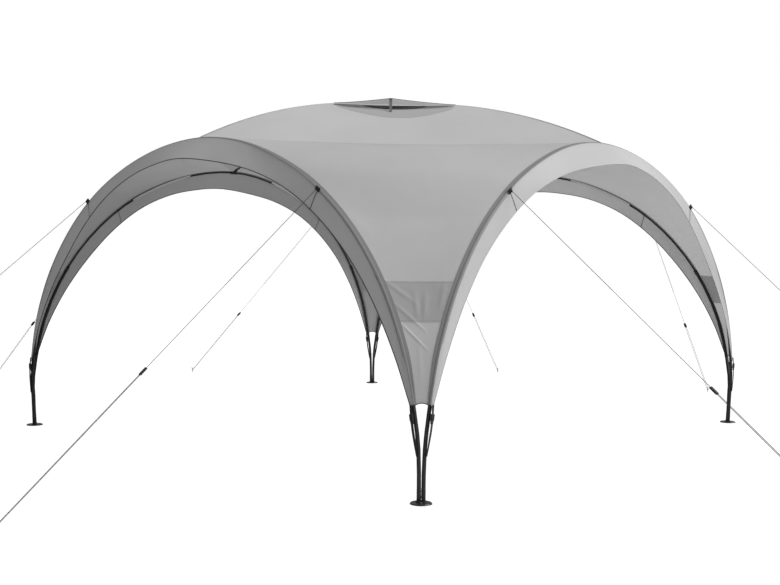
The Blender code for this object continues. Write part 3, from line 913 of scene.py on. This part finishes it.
def hood_point(along, across):
    """A hood point from one tip to the other, and from its seam to its free edge."""
    side = HOOD_END + along * (1 - 2 * HOOD_END)
    bulge = 4 * side * (1 - side)
    from_peak = (HOOD_PEAK - side) / HOOD_PEAK if side < HOOD_PEAK else (side - HOOD_PEAK) / (1 - HOOD_PEAK)
    lift = (1 - from_peak) ** 2
    rise = HOOD_LIFT * lift - HOOD_DROOP * (bulge - lift)
    seam = roof_point(VENT_TIP, side)
    plan = roof_point(VENT_TIP + HOOD_DEPTH * bulge * across, side)
    return Vector((plan.x, plan.y, seam.z + HOOD_STAND + rise * across))


def net_point(a, b):
    side = 0.5 + OPENING_HALF * (2 * b - 1)
    return roof_point(OPENING_BACK + (opening_edge(side) - OPENING_BACK) * a, side)


def facing_edge(across):
    """Ridge distance of the facing's lower edge, which comes to a blunt point."""
    inner = 1 - abs(2 * across - 1)
    return FACING_START + FACING_DEPTH * min(1.0, 1.06 * inner * (1 + 0.45 * inner * (1 - inner)))


def facing_point(a, b):
    side = 0.01 + 0.98 * b
    start = max(opening_edge(side), FACING_START)
    start = min(start, facing_edge(side))
    return roof_point(start + (facing_edge(side) - start) * a, side) + Vector((0, 0, CLOTH_STEP))


hood = bmesh.new()
lay_grid(hood, 64, 8, 0.8, 0.3, hood_point)
hood_piece = add_cloth("hood_cloth", hood, hood_cloth)
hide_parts("vent_hood")
hood_edge = [hood_point(step / 64, 1.0) + Vector((0, 0, 0.001)) for step in range(65)]
# The hood's binding takes the near black piping, a painted shade.
hood_binding = add_piping("hood_binding", hood_edge, 0.0018, piping_painted_shade)
net = bmesh.new()
lay_grid(net, 10, 40, 0.25, 0.5, net_point)
net_piece = add_cloth("vent_net", net, net_black)
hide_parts("vent_mesh")
facing = bmesh.new()
lay_grid(facing, 16, 64, 0.3, 0.9, facing_point)
facing_piece = add_cloth("vent_facing", facing, facing_cloth)


# Straps, guy lines and pegs
# Black webbing straps with side-release buckles tie the hems to the legs. The guy lines are
# braided cord on sewn tabs, with a sliding runner, and their pegs are bent steel pins.
STRAP_FOOT_HEIGHT = 0.23
STRAP_WIDTH = 0.016
STRAP_OUT = 0.0195
STRAP_BOW = 0.007
BUCKLE_PLACE = 0.27
BUCKLE_LENGTH = 0.050
BUCKLE_WIDTH = 0.022
BUCKLE_DEPTH = 0.009

webbing_black = make_coated_steel("webbing_black", (0.012, 0.012, 0.012), (0.020, 0.020, 0.020), 0.75, 0.0)
cord_black = make_coated_steel("braided_cord_black", (0.015, 0.015, 0.015), (0.030, 0.030, 0.030), 0.7, 0.0)
prop_grey = make_coated_steel("prop_strip_grey", (0.11, 0.11, 0.11), (0.16, 0.16, 0.16), 0.6, 0.0)

PROP_PAST = 0.988
PROP_WIDTH = 0.021
PROP_TWIST = 0.6


def prop_point(a, b):
    """A stiffened strip from the facing up to the hood's peak, with a slight twist."""
    foot = roof_point(PROP_PAST, HOOD_PEAK) + Vector((0, 0, 0.003))
    head = hood_point((HOOD_PEAK - HOOD_END) / (1 - 2 * HOOD_END), 0.97) - Vector((0, 0, 0.0015))
    angle = PROP_TWIST * sin(pi * a)
    sideways = Vector((cos(angle), -sin(angle), 0.0)) / sqrt(2) + Vector((sin(angle), -cos(angle), 0.0)) / sqrt(2)
    width = PROP_WIDTH * (0.72 + 0.28 * a)
    return foot.lerp(head, a) + sideways.normalized() * width * (b - 0.5)


prop_strip = bmesh.new()
lay_grid(prop_strip, 16, 4, 0.3, 0.02, prop_point)
bmesh.ops.solidify(prop_strip, geom=prop_strip.faces, thickness=0.0012)
bmesh.ops.recalc_face_normals(prop_strip, faces=prop_strip.faces)
prop_piece = add_piece("vent_prop_strip", prop_strip, prop_grey)
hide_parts("vent_prop")


def add_block(builder, centre, along, across, size, bevel):
    """A block with rounded edges, its length along one direction and its width across."""
    length_way = along.normalized()
    width_way = (across - across.project(length_way)).normalized()
    depth_way = length_way.cross(width_way)
    axes = Matrix((length_way, width_way, depth_way)).transposed().to_4x4()
    scaled = Matrix.Diagonal((*size, 1.0))
    made = bmesh.ops.create_cube(builder, size=1.0, matrix=Matrix.Translation(centre) @ axes @ scaled)
    edges = list({edge for vertex in made["verts"] for edge in vertex.link_edges})
    bmesh.ops.bevel(
        builder, geom=edges, offset=bevel, segments=2, profile=0.5, affect="EDGES", material=-1,
    )


def make_hem_strap(side, hand):
    """A webbing strap from the hem to the leg, a tail below it and its buckle."""
    sign = -1 if hand == "left" else 1
    hem = spline(ARCH, HEM_PLACE)
    hem.y += STRAP_OUT
    foot = spline(ARCH, place_at_height(ARCH, STRAP_FOOT_HEIGHT))
    foot.y += LEG_RADIUS + 0.002
    high = to_front(Vector((sign * hem.x, hem.y, hem.z)))
    low = to_front(Vector((sign * foot.x, foot.y, foot.z)))
    strap = bmesh.new()
    webbing = [high, high.lerp(low, 0.62), low]

    def ribbon(a, b):
        spot = webbing[0].lerp(webbing[1], a / 0.7) if a < 0.7 else webbing[1].lerp(webbing[2], (a - 0.7) / 0.3)
        narrow = 1.0 - 0.3 * max(0.0, a - 0.7) / 0.3
        return spot + Vector((STRAP_WIDTH * narrow * (b - 0.5), -STRAP_BOW * sin(pi * a), 0.0))

    lay_grid(strap, 20, 2, 0.25, STRAP_WIDTH, ribbon)
    bmesh.ops.solidify(strap, geom=strap.faces, thickness=0.0016)
    bmesh.ops.recalc_face_normals(strap, faces=strap.faces)
    axis = low - high
    middle = high.lerp(low, BUCKLE_PLACE) + Vector((0, -STRAP_BOW * sin(pi * BUCKLE_PLACE), 0))
    across = Vector((1, 0, 0))
    body = middle - axis.normalized() * BUCKLE_LENGTH * 0.16
    add_block(strap, body, axis, across, (BUCKLE_LENGTH * 0.62, BUCKLE_WIDTH, BUCKLE_DEPTH), 0.002)
    plug = middle + axis.normalized() * BUCKLE_LENGTH * 0.32
    add_block(strap, plug, axis, across, (BUCKLE_LENGTH * 0.34, BUCKLE_WIDTH * 0.8, BUCKLE_DEPTH * 0.7), 0.0018)
    for wing in (-1, 1):
        prong = middle + axis.normalized() * BUCKLE_LENGTH * 0.1 + across * wing * BUCKLE_WIDTH * 0.42
        add_block(strap, prong, axis, across, (BUCKLE_LENGTH * 0.3, 0.004, BUCKLE_DEPTH * 0.6), 0.001)
    strap.transform(turn(side))
    name = f"hem_strap_detail_{SIDES[side]}_{hand}"
    piece = add_piece(name, strap, webbing_black)
    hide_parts(f"hem_strap_{SIDES[side]}_{hand}")


def make_tie_tab(side, hand):
    """A loop of webbing on the sleeve at the tie point, with the guy line's knot in it."""
    sign = -1 if hand == "left" else 1
    place = place_at_height(ARCH, TIE_HEIGHT)
    spot = spline(ARCH, place) + arch_normal(place) * SLEEVE_RADIUS * 0.6
    spot.y += SLEEVE_RADIUS + 0.003
    centre = to_front(Vector((sign * spot.x, spot.y, spot.z)))
    run = spline(ARCH, place + 0.01) - spline(ARCH, place - 0.01)
    along = Vector((sign * run.x, 0.0, run.z))
    tab = bmesh.new()
    add_block(tab, centre, along, along.cross(Vector((0, -1, 0))), (0.034, 0.024, 0.004), 0.001)
    for step in range(3):
        knot = centre + Vector((0.0, -0.004 - 0.004 * step, -0.003 * step))
        turned = Matrix.Translation(knot) @ Matrix.Diagonal((1.2, 0.8, 1.0, 1.0))
        bmesh.ops.create_icosphere(tab, subdivisions=2, radius=0.0048 - 0.0008 * step, matrix=turned)
    tab.transform(turn(side))
    return add_piece(f"tie_tab_{SIDES[side]}_{hand}", tab, webbing_black)


for side_index, side_name in enumerate(SIDES):
    for hand_name in HANDS:
        make_hem_strap(side_index, hand_name)
        make_tie_tab(side_index, hand_name)
        finish_node(f"guy_line_{side_name}_{hand_name}", cord_black)
        finish_node(f"peg_{side_name}_{hand_name}", bright_steel)


# Floor and light
# A plain pale floor, an even pale surround, and one broad soft key from high in front and to
# the right. The floor throws back less light than a white one, as grass does.
FLOOR_SIZE = 60.0
AMBIENT = 0.34
KEY_STRENGTH = 3.6
KEY_TOWARDS = Vector((0.41, -0.66, 0.63))
FLOOR_GLOW = 1.0

floor_material, floor_tree, floor_shader = new_material("pale_floor")
floor_wear = add_group(floor_tree, wear_group, Scale=0.6)
floor_tone = blend_colours(floor_tree, floor_wear.outputs["Scuffs"], (0.05, 0.05, 0.05), (0.04, 0.04, 0.04))
floor_tree.links.new(floor_tone, floor_shader.inputs["Base Color"])
floor_shader.inputs["Roughness"].default_value = 0.9
floor_shader.inputs["Emission Color"].default_value = (1.0, 1.0, 1.0, 1.0)
floor_shader.inputs["Emission Strength"].default_value = FLOOR_GLOW
dull_floor = floor_tree.nodes.new("ShaderNodeBsdfDiffuse")
dull_floor.inputs["Color"].default_value = (0.52, 0.52, 0.52, 1.0)
floor_rays = floor_tree.nodes.new("ShaderNodeLightPath")
floor_mix = floor_tree.nodes.new("ShaderNodeMixShader")
floor_tree.links.new(floor_rays.outputs["Is Camera Ray"], floor_mix.inputs["Fac"])
floor_tree.links.new(dull_floor.outputs[0], floor_mix.inputs[1])
floor_tree.links.new(floor_shader.outputs[0], floor_mix.inputs[2])
floor_tree.links.new(floor_mix.outputs[0], floor_tree.nodes["Material Output"].inputs["Surface"])
floor_builder = bmesh.new()
bmesh.ops.create_grid(floor_builder, x_segments=1, y_segments=1, size=FLOOR_SIZE / 2)
floor_mesh = bpy.data.meshes.new("floor")
floor_builder.to_mesh(floor_mesh)
floor_builder.free()
floor_mesh.materials.append(floor_material)
floor = bpy.data.objects.new("floor", floor_mesh)
bpy.context.scene.collection.objects.link(floor)

world = bpy.data.worlds.new("pale_surround")
world.use_nodes = True
bpy.context.scene.world = world
surround = world.node_tree.nodes["Background"]
seen = world.node_tree.nodes.new("ShaderNodeBackground")
seen.inputs["Color"].default_value = (1.0, 1.0, 1.0, 1.0)
seen.inputs["Strength"].default_value = 1.0
surround.inputs["Color"].default_value = (1.0, 1.0, 1.0, 1.0)
surround.inputs["Strength"].default_value = AMBIENT
rays = world.node_tree.nodes.new("ShaderNodeLightPath")
pick = world.node_tree.nodes.new("ShaderNodeMixShader")
world.node_tree.links.new(rays.outputs["Is Camera Ray"], pick.inputs["Fac"])
world.node_tree.links.new(surround.outputs[0], pick.inputs[1])
world.node_tree.links.new(seen.outputs[0], pick.inputs[2])
world.node_tree.links.new(pick.outputs[0], world.node_tree.nodes["World Output"].inputs["Surface"])

key_data = bpy.data.lights.new("soft_key", "SUN")
key_data.energy = KEY_STRENGTH
key_data.angle = radians(50)
key = bpy.data.objects.new("soft_key", key_data)
key.rotation_mode = "QUATERNION"
key.rotation_quaternion = KEY_TOWARDS.to_track_quat("Z", "Y")
bpy.context.scene.collection.objects.link(key)

bpy.context.scene.view_settings.view_transform = "Standard"
bpy.context.scene.view_settings.look = "None"
